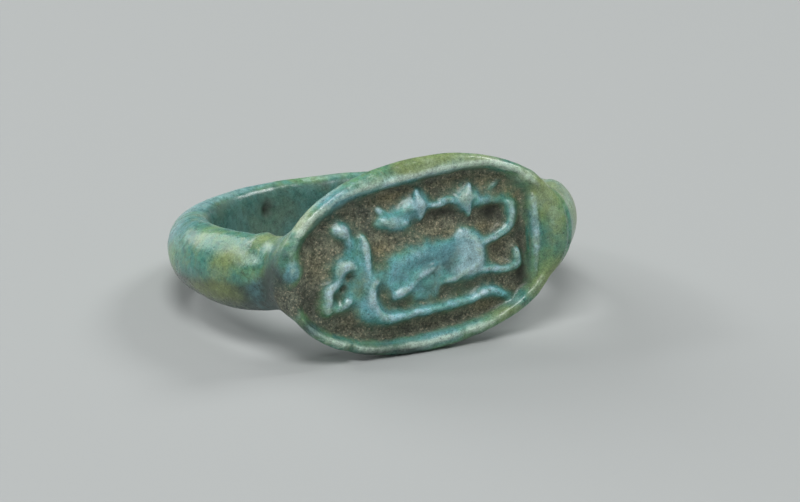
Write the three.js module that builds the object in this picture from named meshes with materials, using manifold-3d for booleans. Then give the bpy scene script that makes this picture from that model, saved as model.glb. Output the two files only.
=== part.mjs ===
// A finger ring of blue-green glazed faience. The hoop and its oval bezel are one moulded and fired piece.
// The bezel's face is a sunk field inside a rounded rim, with a worn figure raised in it.
// Millimetres, +Z up. The ring lies on its side as a loose ring does, on the bezel's lower edge and on the
// hoop's back, so the finger hole's axis leans back from upright. The bezel faces -Y.
// The origin is on the surface it lies on, under the middle of its bounding box.

import * as THREE from "three";
import { ParametricGeometry } from "three/addons/geometries/ParametricGeometry.js";
import { mergeVertices } from "three/addons/utils/BufferGeometryUtils.js";
import Module from "manifold-3d";

// The finger hole, seen along its axis: round, and flattened where the bezel's back closes it.
const HOLE_RADIUS = 8.9;
const HOLE_FRONT = 6.0; // from the hole's centre to the bezel's back
const HOLE_CORNER = 1.6; // how softly the round turns into the flat

// The hoop's section is a D: flat against the finger, rounded outside.
const HOOP_THICKNESS = 2.35;
const HOOP_WIDTH = 3.75;
const HOOP_WIDEST = 0.32; // where the section is widest, as a share of its thickness from the finger's side
const FRONT_THICKNESS = 2.2; // behind the bezel, where the hoop is flattened
const FRONT_CORNER = 0.9;

// Places where the hoop departs from its plain section, as bells along it: degrees from the bezel's middle,
// right positive, then what is added to its width, its height off the middle and its outer radius.
const SWELLINGS = {
  left_shoulder: { angle: -70, spread: 20, width: 0.35, lift: -0.22, radius: 0.0 },
  left_neck: { angle: -56, spread: 4, width: -0.15, lift: 0, radius: -0.3 },
  left_tip: { angle: -47, spread: 7, width: 0.2, lift: -0.1, radius: 1.05 },
  right_shoulder: { angle: 50, spread: 20, width: 1.1, lift: 0.05, radius: 0.0 },
  right_flank: { angle: 70, spread: 26, width: 0.2, lift: 0.1, radius: -0.38 },
};

// The bezel is an oval plate set a little askew across the hoop's front. Its sides taper in to its back.
const BEZEL_LENGTH = 16.6;
const BEZEL_HEIGHT = 10.4;
const BEZEL_STAND = 2.45; // from the hole's flat front to the rim's crest
const BEZEL_THICKNESS = 2.3;
const BEZEL_SIDE = 0.45; // from the rim's crest back to the plate's widest outline
const BEZEL_TAPER = 1.3; // how much smaller its back is, all round
const BEZEL_SHIFT = -0.85; // towards the left, along the hoop
const BEZEL_LIFT = 0.27;
const BEZEL_TWIST = 4.3; // degrees, right end up
const OVAL_POWER = 2.15; // 2 is an ellipse, more is squarer

// The sunk field, with a straight end at the right that lies square to the hoop.
const RIM_WIDTH = 1.15;
const FIELD_DEPTH = 0.8;
const FIELD_END = 6.1; // from the bezel's middle to the foot of the straight end
const END_RUN = 0.4; // how steeply the straight end rises: its run as a share of the rim's
const WORN_RIM = 0.75; // share of the rim's height that is worn away at the left tip
const WORN_ANGLE = 187; // degrees round the oval from the right end
const WORN_SPREAD = 13;

// Flat spots where the ring rests, as deep as they are worn.
const REST_FLAT = 0.06;

const BEZEL_FACE = HOLE_FRONT + BEZEL_STAND;
const FIELD_FLOOR = BEZEL_FACE - FIELD_DEPTH;

// Facets.
const HOOP_STEPS = 96;
const SECTION_STEPS = 18;
const OVAL_STEPS = 80;
const RIM_STEPS = 6;
const TAPER_STEPS = 3;
const STROKE_SIDES = 8;
const STROKE_STEPS_PER_POINT = 3;

// The figure stands with its head to the left and its feet towards the straight end. Each stroke is a ridge
// through points [along, up, half-width]: along as a share of the bezel's half-length, up and half-width as
// shares of its half-height. Its height is a share of the field's depth.
const FIGURE_SHIFT = 0.06; // the whole figure, towards the right
const FIGURE = {
  headdress: { height: 0.85, path: [[-0.61, -0.1, 0.04], [-0.67, -0.17, 0.05], [-0.7, -0.32, 0.045]] },
  headdress_tip: { height: 0.7, path: [[-0.64, -0.31, 0.035], [-0.55, -0.3, 0.045]] },
  head: {
    height: 0.95,
    path: [[-0.49, 0.07, 0.06], [-0.57, 0.08, 0.06], [-0.6, -0.01, 0.055], [-0.55, -0.09, 0.05]],
  },
  neck: {
    height: 0.65,
    path: [[-0.52, -0.19, 0.09], [-0.47, -0.06, 0.1], [-0.38, -0.09, 0.09], [-0.27, -0.1, 0.08]],
  },
  wing: {
    height: 0.75,
    path: [[-0.47, 0.35, 0.08], [-0.46, 0.22, 0.1], [-0.45, 0.08, 0.09], [-0.46, -0.03, 0.07]],
  },
  wing_edge: { height: 0.9, path: [[-0.415, 0.39, 0.03], [-0.4, 0.21, 0.035], [-0.4, 0.05, 0.03]] },
  wing_tip: { height: 0.9, path: [[-0.57, 0.45, 0.055], [-0.51, 0.37, 0.055]] },
  body: {
    height: 0.85,
    path: [
      [-0.2, -0.27, 0.07], [-0.12, -0.19, 0.14], [0.04, -0.11, 0.19], [0.22, -0.07, 0.22],
      [0.36, -0.06, 0.19],
    ],
  },
  skirt: { height: 0.6, path: [[-0.12, -0.36, 0.1], [0.0, -0.34, 0.12], [0.1, -0.26, 0.12]] },
  arm: {
    height: 1.05,
    path: [[-0.22, -0.31, 0.045], [-0.1, -0.23, 0.05], [0.04, -0.13, 0.045], [0.16, -0.04, 0.03]],
  },
  hem: {
    height: 1.0,
    path: [
      [0.11, -0.31, 0.04], [0.25, -0.27, 0.055], [0.35, -0.19, 0.06], [0.37, -0.05, 0.055],
      [0.33, 0.1, 0.05],
    ],
  },
  back_leg: {
    height: 0.85,
    path: [
      [0.36, 0.0, 0.05], [0.47, 0.01, 0.035], [0.58, 0.08, 0.035], [0.645, 0.19, 0.04],
      [0.64, 0.33, 0.04],
    ],
  },
  front_leg: {
    height: 0.85,
    path: [
      [0.38, -0.21, 0.05], [0.46, -0.3, 0.035], [0.56, -0.33, 0.035], [0.62, -0.3, 0.035],
      [0.635, -0.19, 0.04],
    ],
  },
  staff: {
    height: 0.9,
    path: [
      [-0.3, -0.12, 0.05], [-0.38, -0.19, 0.06], [-0.41, -0.33, 0.07], [-0.37, -0.48, 0.06],
      [-0.27, -0.55, 0.045], [0.0, -0.57, 0.045], [0.29, -0.57, 0.04], [0.41, -0.53, 0.04],
      [0.52, -0.6, 0.035],
    ],
  },
  staff_bend: { height: 0.7, path: [[-0.47, -0.3, 0.06], [-0.46, -0.41, 0.09], [-0.41, -0.5, 0.07]] },
  sign_tail: {
    height: 0.8,
    path: [[-0.25, 0.44, 0.06], [-0.16, 0.43, 0.075], [-0.07, 0.45, 0.075], [-0.01, 0.5, 0.07]],
  },
  sign_spike: {
    height: 0.95,
    path: [[-0.005, 0.65, 0.025], [0.005, 0.54, 0.055], [0.015, 0.42, 0.05]],
  },
  sign_line: {
    height: 0.85,
    path: [[0.03, 0.51, 0.03], [0.14, 0.48, 0.028], [0.24, 0.51, 0.03], [0.32, 0.5, 0.04]],
  },
  sign_head: { height: 0.9, path: [[0.36, 0.61, 0.03], [0.33, 0.48, 0.055], [0.35, 0.32, 0.045]] },
  sign_arm: {
    height: 0.6,
    path: [[0.37, 0.53, 0.03], [0.46, 0.5, 0.03], [0.53, 0.53, 0.03], [0.6, 0.58, 0.03]],
  },
  sign_base: {
    height: 0.6,
    path: [[0.38, 0.43, 0.045], [0.48, 0.41, 0.05], [0.58, 0.39, 0.045], [0.64, 0.33, 0.04]],
  },
};

const wasm = await Module();
wasm.setup();

const { cos, sin, abs, sign, exp, hypot, max, min, sqrt, PI } = Math;
const radians = THREE.MathUtils.degToRad;

// A signed power, which squares off or pinches a circle's cosine and sine.
const signedPower = (value, power) => sign(value) * abs(value) ** power;

// A bell of height 1 around middle, for swellings and pinches along the hoop.
const bell = (value, middle, spread) => exp(-(((value - middle) / spread) ** 2));

// The smaller of two lengths, with the corner between them rounded off over about `soft`.
function softMin(a, b, soft) {
  const overlap = max(soft - abs(a - b), 0) / soft;
  return min(a, b) - (overlap * overlap * soft) / 4;
}

// three.js geometry, moved by a matrix, as a closed solid that can be joined and cut.
function toSolid(geometry, matrix = new THREE.Matrix4()) {
  const bare = new THREE.BufferGeometry();
  bare.setAttribute("position", geometry.getAttribute("position").clone());
  if (geometry.index) bare.setIndex(geometry.index.clone());
  const merged = mergeVertices(bare.applyMatrix4(matrix), 1e-4);
  const corners = merged.index.array;
  const faces = [];
  for (let i = 0; i < corners.length; i += 3) {
    const [a, b, c] = corners.slice(i, i + 3);
    if (a !== b && b !== c && c !== a) faces.push(a, b, c);
  }
  const vertProperties = merged.attributes.position.array;
  const mesh = new wasm.Mesh({ numProp: 3, vertProperties, triVerts: new Uint32Array(faces) });
  return new wasm.Manifold(mesh);
}

function toGeometry(solid) {
  const mesh = solid.getMesh();
  const geometry = new THREE.BufferGeometry();
  geometry.setAttribute("position", new THREE.BufferAttribute(mesh.vertProperties, 3));
  geometry.setIndex(new THREE.BufferAttribute(mesh.triVerts, 1));
  return geometry;
}

// Half of the hoop's outline at an angle from the bezel's middle: a circle cut by a chord in front.
function hoopOutline(angle, radius, front, soft) {
  const ahead = cos(angle);
  return ahead > 0.05 ? softMin(radius, front / ahead, soft) : radius;
}

// The sum of one property over all swellings at an angle in degrees.
function swelling(degrees, property) {
  const amounts = Object.values(SWELLINGS).map((at) => at[property] * bell(degrees, at.angle, at.spread));
  return amounts.reduce((sum, amount) => sum + amount, 0);
}

// The hoop runs right round, through the bezel. Angle 0 is the bezel's middle, and it grows to the right.
function hoop() {
  const surface = (around, across, target) => {
    const angle = 2 * PI * around;
    const degrees = THREE.MathUtils.radToDeg(angle > PI ? angle - 2 * PI : angle);
    const inner = hoopOutline(angle, HOLE_RADIUS, HOLE_FRONT, HOLE_CORNER);
    const radius = HOLE_RADIUS + HOOP_THICKNESS + swelling(degrees, "radius");
    const thickness = hoopOutline(angle, radius, HOLE_FRONT + FRONT_THICKNESS, FRONT_CORNER) - inner;
    const halfWidth = (HOOP_WIDTH + swelling(degrees, "width")) / 2;
    const turn = 2 * PI * across;
    const outside = cos(turn) > 0;
    const widest = thickness * HOOP_WIDEST;
    const reach = outside ? thickness - widest : widest;
    const squareness = outside ? 0.95 : 0.4;
    const radial = inner + widest + reach * signedPower(cos(turn), squareness);
    const axial = halfWidth * signedPower(sin(turn), squareness) + swelling(degrees, "lift");
    target.set(radial * sin(angle), -radial * cos(angle), axial);
  };
  return toSolid(new ParametricGeometry(surface, HOOP_STEPS, SECTION_STEPS));
}

// The bezel's own frame: X along its length, Y up its height, Z outwards from the hole's centre.
function bezelPlacement() {
  return new THREE.Matrix4()
    .makeTranslation(BEZEL_SHIFT, 0, BEZEL_LIFT)
    .multiply(new THREE.Matrix4().makeRotationY(-radians(BEZEL_TWIST)))
    .multiply(new THREE.Matrix4().makeRotationX(PI / 2));
}

// A point of the oval drawn in by `inset`, and cut off straight at the right where `end` says.
function ovalPoint(turn, inset, end) {
  const along = (BEZEL_LENGTH / 2 - inset) * signedPower(cos(turn), 2 / OVAL_POWER);
  const up = (BEZEL_HEIGHT / 2 - inset) * signedPower(sin(turn), 2 / OVAL_POWER);
  const limit = end + up * Math.tan(radians(BEZEL_TWIST));
  return new THREE.Vector2(min(along, limit), up);
}

// A solid of stacked ovals, given from the front backwards. Each level has its outline's inset, its height,
// where its straight end lies, and its share of that outline's size, which is 0 in the middle of a flat end.
// What stands above the field's floor is worn down at the left tip by the share `worn`.
function ovalStack(levels, worn) {
  const last = levels.length - 1;
  const surface = (around, back, target) => {
    const { inset, height, end, share } = levels[Math.round(back * last)];
    const point = ovalPoint(-2 * PI * around, inset, end).multiplyScalar(share);
    const wear = 1 - share * worn * bell(360 * (1 - around), WORN_ANGLE, WORN_SPREAD);
    const above = max(0, height - FIELD_FLOOR);
    target.set(point.x, point.y, min(height, FIELD_FLOOR) + wear * above);
  };
  return toSolid(new ParametricGeometry(surface, OVAL_STEPS, last), bezelPlacement());
}

// From the middle of the field's floor over the rim, and down the tapering sides to the middle of the back.
function bezelPlate() {
  const side = BEZEL_FACE - BEZEL_SIDE;
  const back = BEZEL_FACE - BEZEL_THICKNESS;
  const levels = [{ inset: RIM_WIDTH, height: FIELD_FLOOR, end: FIELD_END, share: 0 }];
  for (let step = 0; step <= RIM_STEPS; step++) {
    const over = (PI * step) / RIM_STEPS;
    const inset = (RIM_WIDTH * (1 + cos(over))) / 2;
    const fall = over < PI / 2 ? FIELD_DEPTH : BEZEL_SIDE;
    const end = over < 0.6 * PI ? FIELD_END + END_RUN * (RIM_WIDTH - inset) : Infinity;
    levels.push({ inset, height: BEZEL_FACE - fall * (1 - sin(over)), end, share: 1 });
  }
  for (let step = 1; step <= TAPER_STEPS; step++) {
    const down = step / TAPER_STEPS;
    const height = side + (back - side) * down;
    levels.push({ inset: BEZEL_TAPER * down ** 1.5, height, end: Infinity, share: 1 });
  }
  levels.push({ inset: BEZEL_TAPER, height: back, end: Infinity, share: 0 });
  return ovalStack(levels, WORN_RIM);
}

// Takes out what the hoop fills of the field, down to its floor.
function fieldHollow() {
  const mouth = { inset: RIM_WIDTH / 2, height: BEZEL_FACE, end: FIELD_END + (END_RUN * RIM_WIDTH) / 2 };
  const foot = { inset: RIM_WIDTH, height: FIELD_FLOOR, end: FIELD_END };
  const levels = [
    { ...mouth, share: 0 },
    { ...mouth, share: 1 },
    { ...foot, share: 1 },
    { ...foot, share: 0 },
  ];
  return ovalStack(levels, 0);
}

// One ridge of the figure, half sunk in the field's floor and closed at both ends.
function stroke({ height, path }) {
  const halfLength = BEZEL_LENGTH / 2;
  const halfHeight = BEZEL_HEIGHT / 2;
  const points = path.map(([along, up, half]) => {
    return new THREE.Vector3(along * halfLength + FIGURE_SHIFT, up * halfHeight, half * halfHeight);
  });
  const curve = new THREE.CatmullRomCurve3(points);
  const rise = height * FIELD_DEPTH;
  const surface = (lengthwise, around, target) => {
    const share = (1 - cos(PI * lengthwise)) / 2;
    const middle = curve.getPoint(share);
    const ahead = curve.getTangent(share);
    const run = hypot(ahead.x, ahead.y);
    const closing = sqrt(max(0, 1 - (2 * share - 1) ** 6));
    const across = closing * middle.z * cos(2 * PI * around);
    const up = closing * rise * sin(2 * PI * around);
    target.set(middle.x + (across * ahead.y) / run, middle.y - (across * ahead.x) / run, FIELD_FLOOR + up);
  };
  const steps = STROKE_STEPS_PER_POINT * (points.length - 1) + 2;
  return toSolid(new ParametricGeometry(surface, steps, STROKE_SIDES), bezelPlacement());
}

// The lowest height of a shape's front or back half when it leans back by an angle.
function lowest(positions, lean, side) {
  let low = Infinity;
  for (let i = 0; i < positions.count; i++) {
    const y = positions.getY(i);
    if (y * side > 0) low = min(low, positions.getZ(i) * cos(lean) - y * sin(lean));
  }
  return low;
}

// How far the ring leans back when its bezel and the back of its hoop touch the same level surface.
function restingLean(positions) {
  let upright = 0;
  let flat = PI / 4;
  for (let round = 0; round < 40; round++) {
    const lean = (upright + flat) / 2;
    if (lowest(positions, lean, -1) < lowest(positions, lean, 1)) upright = lean;
    else flat = lean;
  }
  return (upright + flat) / 2;
}

// A slab whose top is the level that the resting ring is worn to, in the upright ring's own frame.
function restLevel(lean, level) {
  const span = 4 * (HOLE_RADIUS + HOOP_THICKNESS);
  const slab = new THREE.BoxGeometry(span, span, span);
  const place = new THREE.Matrix4().makeRotationX(lean);
  return toSolid(slab, place.multiply(new THREE.Matrix4().makeTranslation(0, 0, level - span / 2)));
}

function ring() {
  let body = hoop().add(bezelPlate()).subtract(fieldHollow());
  for (const part of Object.values(FIGURE)) body = body.add(stroke(part));
  const positions = toGeometry(body).getAttribute("position");
  const lean = restingLean(positions);
  const level = lowest(positions, lean, -1) + REST_FLAT;
  body = body.subtract(restLevel(lean, level));
  const glaze = new THREE.MeshStandardMaterial({ color: 0x5f9d93, roughness: 0.42, metalness: 0 });
  const mesh = new THREE.Mesh(toGeometry(body), glaze);
  mesh.name = "ring";
  mesh.rotation.x = -lean;
  return mesh;
}

const part = new THREE.Group();
part.add(ring());
const box = new THREE.Box3().setFromObject(part, true);
const middle = box.getCenter(new THREE.Vector3());
part.position.set(-middle.x, -middle.y, -box.min.z);

export default part;
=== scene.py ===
"""A worn finger ring of blue-green glazed faience, lying on its side on a pale sheet.

The ring is one moulded and fired piece. Its form is worked out as a distance field in the ring's own frame, in
millimetres: the origin is the middle of the finger hole, -Y points out of the bezel's face and Z runs along the
finger. The bezel's relief is a height map over the bezel's own frame, U along it and V up it. The finished mesh
is turned and moved to where the ring lies.
"""

import math

import bpy
import numpy as np
import openvdb
from bpy.props import FloatProperty, FloatVectorProperty, PointerProperty
from mathutils import Matrix, Vector


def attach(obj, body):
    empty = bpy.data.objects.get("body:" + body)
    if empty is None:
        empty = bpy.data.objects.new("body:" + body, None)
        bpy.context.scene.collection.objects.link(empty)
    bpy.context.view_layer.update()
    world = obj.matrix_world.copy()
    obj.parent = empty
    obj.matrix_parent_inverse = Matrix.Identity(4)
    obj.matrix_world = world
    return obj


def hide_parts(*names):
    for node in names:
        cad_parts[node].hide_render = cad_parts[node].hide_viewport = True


bl_info = {
    "name": "Faience finger ring",
    "version": (1, 0, 0),
    "blender": (4, 5, 0),
    "location": "View3D > Sidebar > Ring",
    "description": "Builds a worn, glazed finger ring with a figured bezel, and a plain stage for it",
    "category": "Object",
}

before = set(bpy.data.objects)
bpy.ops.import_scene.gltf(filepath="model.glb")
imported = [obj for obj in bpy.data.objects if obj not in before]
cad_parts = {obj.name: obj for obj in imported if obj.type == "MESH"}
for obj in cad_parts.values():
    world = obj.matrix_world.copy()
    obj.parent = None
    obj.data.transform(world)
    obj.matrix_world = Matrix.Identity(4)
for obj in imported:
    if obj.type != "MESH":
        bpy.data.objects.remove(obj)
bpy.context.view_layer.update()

MM = 0.001

# Where the ring's own frame lies in the part's frame.
LEAN = math.radians(9.854)
CENTRE = (0.0944, -1.0162, 3.4644)

# Places where the hoop departs from its plain section: degrees from the bezel's middle, right positive, spread,
# then what is added to its width, its height off the middle and its outer radius.
SWELLINGS = (
    (-70, 20, 0.35, -0.22, 0), (-56, 4, -0.15, 0, -0.05), (-47, 7, 0.25, -0.1, 0.8), (50, 20, 0.5, 0.5, 0),
    (70, 26, 0.2, 0.15, -0.38), (-95, 22, 0, 0, 0.14),
)

# The bezel's place in the ring's frame, and the shape of its plate. A power of 2 is an ellipse, more is squarer.
BEZEL_SHIFT = -0.85
BEZEL_LIFT = 0.27
BEZEL_TWIST = math.radians(4.3)
OVAL_POWER = 2.15
BEZEL_SIDE = 0.45  # from the rim's crest back to the plate's widest outline
BEZEL_TAPER = 1.3  # how much smaller its back is, all round
SIDE_CORNER = 0.25
BACK_CORNER = 0.4
END_FOOT = 0.35  # from the straight ridge back into the field

# The hoop's corners, and where its section is widest, as a share of its thickness from the finger's side.
HOLE_CORNER = 1.6
HOLE_EDGE = 0.9
FRONT_CORNER = 0.9
HOOP_WIDEST = 0.32

# How softly the plate runs into the hoop, and where it does so further: x, run and amount.
MERGE = 0.45
MERGE_RIGHT = (5.0, 2.4, 1.1)
MERGE_LEFT = (-6.9, -1.6, 1.3)

# The worn left end, in degrees round the oval with their spread: of the rim's crest, the plate's side, its outline
# and the soil that has spread there. The hoop's worn part is in degrees round the finger.
WORN_CREST = (183, 15)
WORN_SIDE = (184, 14)
WORN_PLATE = (185, 13)
WORN_SOIL = (188, 11)
WORN_HOOP = (-47, 8)
CHIP = (233, 3.5)  # a shallow gap in the rim's crest

# Unevenness in layers of (amount, scale, seed): of the whole surface, of the relief's height and place, and of the
# rim's crest, its slope's foot, its height and its fine line.
SURFACE_WAVER = ((0.04, 3.1, 1), (0.022, 1.3, 2), (0.012, 0.5, 3))
RELIEF_WAVER = ((0.14, 0.9, 22), (0.08, 0.4, 23))
WARP_U = ((0.08, 0.8, 26), (0.03, 0.3, 28))
WARP_V = ((0.08, 0.8, 27), (0.03, 0.3, 29))
CREST_PLACE_WAVER = ((0.05, 1.3, 11),)
SLOPE_PLACE_WAVER = ((0.09, 1.1, 13),)
CREST_WAVER = ((0.07, 1.0, 12), (0.05, 0.5, 14))
LINE_WAVER = ((0.9, 0.9, 15),)

# Millimetres in a degree of the hoop, outside and in the finger hole.
OUTSIDE_DEGREE = 0.18
INSIDE_DEGREE = 0.155

# The grid that the mesh is drawn from, in millimetres, and how finely the fields are read.
LOW_CORNER = (-12.6, -9.8, -5.9)
HIGH_CORNER = (12.6, 12.2, 6.4)
COARSE = 4  # fine cells in a coarse one
SLOPE_STEP = 0.05  # how far apart the relief is read for its slope
BAND = 6.5  # fine cells on each side of the surface that are worked out
PROBE = 0.02  # how far apart the distance is read for its slope
LONGEST_MOVE = 0.15

# The bezel's tables give places and sizes in hundredths of a millimetre, and amounts in hundredths.
# First the figure in relief. Each ridge runs through (u, v, half-width, height).
RIDGES = {
    "arm": [
        (-190, -175, 16, 66), (-155, -165, 20, 74), (-100, -135, 20, 74), (-20, -95, 17, 70), (50, -62, 13, 62),
    ],
    "shoulder": [(-215, -120, 25, 46), (-205, -60, 34, 54), (-140, -15, 38, 56), (-40, 0, 36, 56), (80, 8, 32, 52)],
    "hem": [
        (85, -168, 13, 56), (160, -155, 18, 66), (240, -130, 22, 72), (295, -95, 26, 74), (295, -40, 30, 74),
        (285, 10, 28, 72), (240, 60, 22, 66),
    ],
    "hem_inner": [(200, 50, 25, 52), (220, 0, 33, 57), (230, -60, 35, 58), (200, -115, 28, 54)],
    "hem_foot": [(260, -140, 18, 66), (320, -145, 16, 62), (380, -155, 13, 58)],
    "back_leg": [
        (290, 10, 20, 66), (350, 0, 16, 62), (410, 12, 14, 60), (470, 32, 14, 62), (515, 65, 16, 68),
        (533, 110, 17, 70), (530, 162, 17, 66), (510, 180, 13, 50),
    ],
    "front_leg": [
        (360, -150, 14, 60), (410, -164, 13, 58), (470, -172, 14, 62), (510, -160, 16, 68), (525, -125, 16, 68),
        (525, -95, 14, 62),
    ],
    "staff": [
        (-260, -50, 20, 50), (-295, -72, 20, 62), (-322, -105, 20, 70), (-338, -160, 22, 74), (-328, -215, 24, 74),
        (-297, -266, 22, 72), (-240, -293, 17, 68), (-120, -298, 15, 66), (0, -298, 15, 66), (120, -300, 14, 62),
        (240, -292, 14, 64), (310, -276, 15, 68), (370, -276, 14, 62), (420, -305, 13, 50), (460, -330, 13, 40),
    ],
    "staff_bend": [(-375, -175, 20, 50), (-375, -215, 28, 62), (-350, -250, 26, 62)],
    "wing_edge": [
        (-338, 155, 15, 60), (-336, 110, 16, 70), (-337, 60, 16, 70), (-342, 15, 17, 62), (-330, -40, 18, 52),
    ],
    "wing_tip": [(-485, 230, 16, 60), (-455, 220, 22, 78), (-435, 190, 17, 60), (-410, 140, 18, 45)],
    "head": [(-505, -10, 20, 62), (-492, 25, 24, 74), (-455, 40, 24, 74), (-415, 25, 20, 60)],
    "chin": [(-505, -15, 20, 60), (-530, -50, 20, 60)],
    "headdress": [(-535, -50, 20, 62), (-570, -85, 24, 70), (-580, -130, 24, 70), (-585, -175, 20, 62)],
    "knot": [(-530, -185, 16, 50), (-480, -160, 20, 66), (-460, -150, 17, 60)],
    "sign_tail": [(-215, 220, 20, 60), (-180, 210, 24, 66), (-135, 198, 26, 68), (-90, 198, 22, 62)],
    "sign_back": [
        (-225, 285, 12, 50), (-195, 250, 17, 50), (-140, 240, 20, 50), (-90, 250, 22, 60), (-40, 265, 22, 66),
    ],
    "sign_spike": [(-5, 338, 10, 60), (-2, 300, 17, 74), (5, 260, 28, 78), (0, 215, 18, 62)],
    "sign_line": [(20, 260, 14, 62), (75, 250, 11, 58), (130, 248, 11, 58), (180, 260, 12, 60), (230, 252, 14, 62)],
    "sign_head": [
        (308, 310, 10, 56), (290, 275, 17, 72), (270, 240, 28, 78), (278, 200, 20, 68), (284, 160, 13, 56),
    ],
    "sign_side": [(220, 250, 15, 62), (270, 245, 22, 72), (335, 250, 14, 55)],
    "sign_arm": [(295, 270, 13, 50), (350, 272, 9, 36), (400, 272, 8, 34), (460, 282, 8, 36), (500, 305, 7, 32)],
    "sign_base": [(320, 230, 20, 45), (370, 215, 22, 48), (430, 215, 22, 46), (490, 195, 20, 42)],
}

# Broad low forms under the ridges: outline, height and how softly it rises.
SLABS = {
    "body": ([
        (-210, -180), (-245, -110), (-235, -40), (-170, 10), (-90, 42), (0, 40), (90, 42), (160, 68), (225, 92),
        (275, 66), (315, 25), (360, 5), (340, -50), (350, -95), (375, -150), (300, -160), (180, -168), (85, -180),
        (60, -130), (20, -105), (-50, -140), (-130, -180),
    ], 43, 60),
    "skirt": ([
        (-130, -150), (-30, -90), (70, -90), (115, -160), (80, -220), (30, -265), (-90, -240),
    ], 42, 90),
    "face": ([
        (-515, 50), (-430, 65), (-360, 0), (-340, -100), (-390, -195), (-480, -195), (-560, -210), (-605, -175),
        (-605, -75), (-550, -30),
    ], 42, 50),
    "wing": ([
        (-475, 230), (-430, 230), (-395, 175), (-330, 180), (-320, 90), (-315, -20), (-305, -80), (-355, -170),
        (-420, -140), (-430, -60), (-450, 10), (-500, 30), (-495, 80), (-450, 130),
    ], 38, 45),
    "sign": ([
        (-220, 260), (-220, 190), (-90, 175), (30, 220), (40, 270), (-10, 300), (-80, 275),
    ], 28, 30),
    "sign_low": ([
        (290, 260), (330, 190), (460, 190), (520, 170), (500, 240), (420, 270),
    ], 22, 30),
}

# Hollows and pits pressed into the field and the figure: (u, v, radius u, radius v, depth).
HOLLOWS = (
    (425, 120, 85, 75, 16), (460, -75, 75, 65, 14), (160, 175, 170, 50, 14), (-630, -40, 100, 140, 10),
    (50, -365, 320, 45, 5), (590, -60, 28, 180, 10), (150, -35, 55, 60, 5), (10, -35, 90, 30, 6),
    (-220, 120, 100, 80, 6), (-485, -408, 16, 14, 40), (-442, -20, 17, 19, 34), (-486, -83, 18, 16, 42),
    (-520, -120, 28, 28, 26),
)

# The rim round the oval: degrees counter-clockwise from its right end, how far in its crest lies, how far in its
# inner slope ends.
RIM = (
    (0, 60, 110), (30, 45, 85), (45, 42, 75), (58, 45, 84), (72, 70, 130), (90, 86, 142), (104, 82, 140),
    (122, 48, 136), (143, 25, 125), (158, 28, 100), (172, 50, 100), (203, 30, 80), (215, 30, 68), (230, 42, 72),
    (245, 40, 88), (257, 58, 105), (270, 60, 110), (285, 57, 110), (297, 54, 105), (312, 54, 100), (330, 60, 105),
)

# Where the plate's right tip runs over into the hoop instead of carrying a rim.
TIP = [
    (650, 220), (655, 30), (642, -100), (625, -220), (590, -300), (530, -360), (490, -440), (520, -560),
    (910, -500), (910, 240), (740, 250),
]

# A thick drop of blue glaze left on the worn end of the rim.
RIM_KNOB = [(610, 305, 20, 80), (660, 272, 26, 90), (682, 245, 24, 80)]
RIM_BUMP = [(-760, 115, 20, 40), (-768, 80, 28, 70), (-762, 40, 22, 45)]

# The straight ridge that closes the field at the right.
END_RIDGE = [
    (660, 190, 14, 70), (658, 145, 17, 86), (650, 30, 18, 90), (640, -90, 18, 86), (625, -210, 17, 78),
    (610, -260, 16, 62),
]

# Lumps and pits of the hoop: degrees round, height along the finger, radius, and how far out of the surface.
LUMPS = (
    (-61.5, 1.72, 0.34, 0.16), (-55, 1.35, 0.4, 0.1), (-59.5, 0.9, 0.3, -0.1), (-50, 0.1, 1, -0.06),
    (-63.5, 0.9, 0.9, 0.07), (-79, 0.7, 1.6, 0.05), (-46, 0.75, 0.5, 0.12), (62, 0.9, 1.4, 0.1),
    (45, 2.3, 0.7, 0.08), (41, -2.2, 0.9, -0.06), (108, -0.6, 1.2, 0.05), (150, 0.4, 1.5, -0.05),
    (-125, 0.3, 1.4, 0.04), (-150, -0.7, 1.3, -0.04),
)

INNER_PITS = ((-162.6, 0.54, 0.42, 0.36), (-118, -0.4, 0.18, 0.1), (96, 0.6, 0.22, 0.12), (150, -0.9, 0.16, 0.08))


def length(name, description, millimetres):
    """A length that a user can change."""
    return FloatProperty(name=name, description=description, default=millimetres * MM, unit="LENGTH")


def colour(name, description, *tone):
    """A colour that a user can change."""
    return FloatVectorProperty(name=name, description=description, subtype="COLOR", size=3, default=tone)


class RingSizes(bpy.types.PropertyGroup):
    """The ring's main sizes."""

    hole_radius: length("Hole radius", "Radius of the finger hole", 8.9)
    hole_front: length("Hole front", "From the hole's middle to the bezel's back", 6.0)
    hoop_thickness: length("Hoop thickness", "Thickness of the hoop", 2.35)
    hoop_width: length("Hoop width", "Width of the hoop along the finger", 3.75)
    front_thickness: length("Front thickness", "Thickness of the hoop behind the bezel", 2.2)
    bezel_length: length("Bezel length", "Length of the oval bezel", 16.6)
    bezel_height: length("Bezel height", "Height of the oval bezel", 10.4)
    bezel_stand: length("Bezel stand", "From the bezel's back to its rim's crest", 2.45)
    bezel_thickness: length("Bezel thickness", "Thickness of the bezel's plate", 2.3)
    field_depth: length("Field depth", "Depth of the sunk field below the rim", 0.8)
    voxel: length("Mesh spacing", "Spacing of the mesh on the hoop; half of it on the relief", 0.144)


class GlazeColours(bpy.types.PropertyGroup):
    """The glaze's tones."""

    teal: colour("Teal", "The glaze's main tone", 0.065, 0.25, 0.2)
    green: colour("Green", "Where the glaze has greened", 0.16, 0.34, 0.165)
    blue: colour("Blue", "Thick, blue glaze", 0.15, 0.38, 0.43)
    olive: colour("Olive", "Yellowed glaze", 0.26, 0.32, 0.11)
    # Its colour also serves for the painted highlights.
    pale: colour("Pale", "Thin glaze on crests", 0.46, 0.65, 0.55)
    # Its colour also serves for the painted shade under the hoop and along the rim.
    slate: colour("Slate", "Darkened glaze", 0.036, 0.06, 0.056)
    earth: colour("Earth", "Soil held in the field", 0.175, 0.19, 0.132)
    sand: colour("Sand", "Sandy grains in the soil", 0.5, 0.43, 0.3)


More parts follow.
